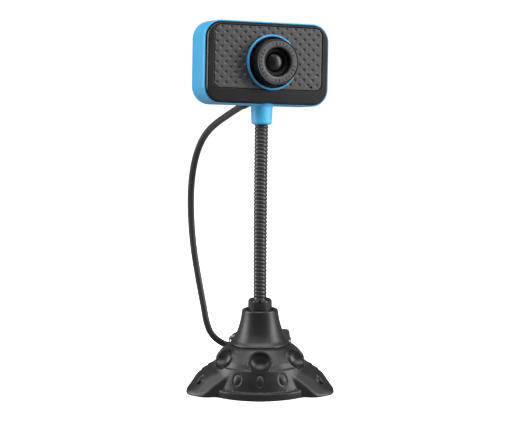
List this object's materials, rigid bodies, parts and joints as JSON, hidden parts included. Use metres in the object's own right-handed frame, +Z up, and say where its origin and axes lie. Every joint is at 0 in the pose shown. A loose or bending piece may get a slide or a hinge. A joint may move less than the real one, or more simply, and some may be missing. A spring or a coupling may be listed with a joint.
{
  "type": "desk webcam on a gooseneck stand",
  "caption": "Camera head with a turning focus ring on a bendable gooseneck, standing in a weighted bell-shaped base with three feet and a USB cord.",
  "frame": {"origin": "on the table, at the centre of the base's underside, on the neck's axis", "axes": "+Z up, -Y towards the front, +X to the right of someone looking at the front"},
  "size_m": [0.0889, 0.1572, 0.2163],
  "materials": {
    "base_black": "satin moulded plastic",
    "neck_skin": "satin black spiral tube",
    "steel": "plated steel",
    "ballast": "rough cast",
    "pad_rubber": "matt foam rubber",
    "shell_blue": "semi-gloss light blue",
    "bezel_black": "gloss black",
    "panel_grey": "satin, with rows of small round dimples",
    "trim_blue": "semi-gloss light blue",
    "lens_black": "matt black",
    "focus_grey": "satin dark grey",
    "lens_glass": "coated glass",
    "filter_glass": "tinted glass",
    "sensor_dark": "gloss",
    "board_green": "solder mask",
    "connector_white": "moulded",
    "cord_jacket": "satin PVC jacket",
    "tie_fabric": "hook and loop strap"
  },
  "bodies": {
    "base": {"base_shell": "base_black", "bell_sleeve": "base_black", "neck_collar": "base_black", "neck_ferrule": "neck_skin", "neck_lock_nut": "steel", "counterweight": "ballast", "bottom_cover": "base_black", "non_slip_pad": "pad_rubber", "cover_screw_1": "steel", "cover_screw_2": "steel", "cover_screw_3": "steel", "plug_grip": "cord_jacket", "plug_shell": "steel", "plug_tongue": "connector_white", "usb_cord_drop": "cord_jacket", "usb_cord_tail": "cord_jacket", "usb_cord_hank": "cord_jacket", "cord_tie": "tie_fabric"},
    "link_1": {"neck_link_1": "neck_skin"},
    "link_2": {"neck_link_2": "neck_skin"},
    "link_3": {"neck_link_3": "neck_skin"},
    "link_4": {"neck_link_4": "neck_skin"},
    "link_5": {"neck_link_5": "neck_skin"},
    "link_6": {"neck_link_6": "neck_skin", "neck_retaining_nut": "steel"},
    "head": {"rear_shell": "shell_blue", "front_bezel": "bezel_black", "front_panel": "panel_grey", "lens_trim_ring": "trim_blue", "lens_holder": "lens_black", "image_sensor": "sensor_dark", "ir_filter": "filter_glass", "main_board": "board_green", "cord_connector": "connector_white", "cord_lead": "cord_jacket", "microphone": "steel", "board_screw_1": "steel", "board_screw_2": "steel", "shell_screw_1": "steel", "shell_screw_2": "steel", "cord_gland": "cord_jacket"},
    "focus": {"focus_ring": "focus_grey", "lens_barrel": "lens_black", "front_lens": "lens_glass", "rear_lens": "lens_glass"}
  },
  "joints": [
    {"name": "neck_pitch_1", "type": "hinge", "parent": "base", "child": "link_1", "pos_m": [0, 0, 0.062], "axis": [1, 0, 0], "range_deg": [-15, 15], "deforming": ["usb_cord_drop"]},
    {"name": "neck_roll_1", "type": "hinge", "parent": "link_1", "child": "link_2", "pos_m": [0.00005, 0.00031, 0.079], "axis": [0, 0.9994, -0.036], "range_deg": [-15, 15]},
    {"name": "neck_pitch_2", "type": "hinge", "parent": "link_2", "child": "link_3", "pos_m": [0.00015, 0.00092, 0.09599], "axis": [1, 0, 0], "range_deg": [-15, 15]},
    {"name": "neck_roll_2", "type": "hinge", "parent": "link_3", "child": "link_4", "pos_m": [0.00029, 0.00185, 0.11296], "axis": [0, 0.9974, -0.072], "range_deg": [-15, 15]},
    {"name": "neck_pitch_3", "type": "hinge", "parent": "link_4", "child": "link_5", "pos_m": [0.00049, 0.00308, 0.12991], "axis": [1, 0, 0], "range_deg": [-15, 15]},
    {"name": "neck_roll_3", "type": "hinge", "parent": "link_5", "child": "link_6", "pos_m": [0.00073, 0.00461, 0.14684], "axis": [-0.001, 0.9941, -0.108], "range_deg": [-15, 15]},
    {"name": "head_swivel", "type": "hinge", "parent": "link_6", "child": "head", "pos_m": [0.00088, 0.00553, 0.15529], "axis": [0.017, 0.108, 0.994], "range_deg": [-90, 65]},
    {"name": "focus_turn", "type": "hinge", "parent": "head", "child": "focus", "pos_m": [0.00312, 0.01015, 0.19057], "axis": [0.4232, -0.9014, 0.091], "range_deg": [-180, 180]}
  ],
  "couplings": [
    {"joint": "neck_pitch_2", "follows": "neck_pitch_1", "ratio": 1},
    {"joint": "neck_roll_2", "follows": "neck_roll_1", "ratio": 1},
    {"joint": "neck_pitch_3", "follows": "neck_pitch_1", "ratio": 1},
    {"joint": "neck_roll_3", "follows": "neck_roll_1", "ratio": 1}
  ]
}
